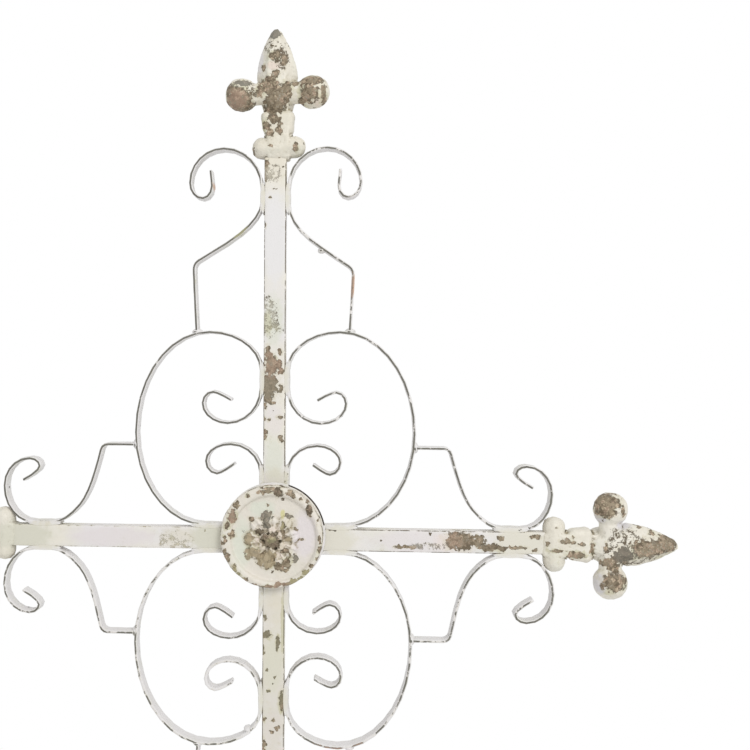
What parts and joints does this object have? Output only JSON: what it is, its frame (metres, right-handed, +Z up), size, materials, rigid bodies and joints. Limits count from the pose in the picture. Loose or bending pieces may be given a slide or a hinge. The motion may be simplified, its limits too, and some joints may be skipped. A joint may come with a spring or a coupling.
{
  "type": "wrought iron wall cross",
  "caption": "Wall cross of wrought iron: flat bars behind a round rosette medallion, scrolls of flat strip and cast fleur-de-lis ends, in worn off-white paint.",
  "frame": {"origin": "on the back face of the upright bar, where the two bars cross: the middle of the face that lies against the wall", "axes": "+Z up along the upright bar, +X to the right as the front is seen, -Y out of the front towards the viewer, +Y into the wall"},
  "size_m": [0.569, 0.0213, 0.9172],
  "materials": {
    "bar_paint": "satin, worn through to brown metal in patches",
    "strip_paint": "satin, rubbed dark along the front edges",
    "casting_paint": "satin, heavily worn on the high parts"
  },
  "bodies": {
    "root": {"upright_bar": "bar_paint", "crossbar_left": "bar_paint", "crossbar_right": "bar_paint", "medallion": "casting_paint", "finial_top": "casting_paint", "finial_right": "casting_paint", "finial_bottom": "casting_paint", "finial_left": "casting_paint", "c_scroll_upper_left": "strip_paint", "c_scroll_upper_right": "strip_paint", "c_scroll_lower_left": "strip_paint", "c_scroll_lower_right": "strip_paint", "small_scroll_upper_left": "strip_paint", "small_scroll_upper_right": "strip_paint", "small_scroll_lower_left": "strip_paint", "small_scroll_lower_right": "strip_paint", "left_end_scroll_upper": "strip_paint", "left_end_scroll_lower": "strip_paint", "right_end_scroll_upper": "strip_paint", "right_end_scroll_lower": "strip_paint", "top_end_scroll_left": "strip_paint", "top_end_scroll_right": "strip_paint", "bottom_end_scroll_left": "strip_paint", "bottom_end_scroll_right": "strip_paint"}
  },
  "joints": []
}
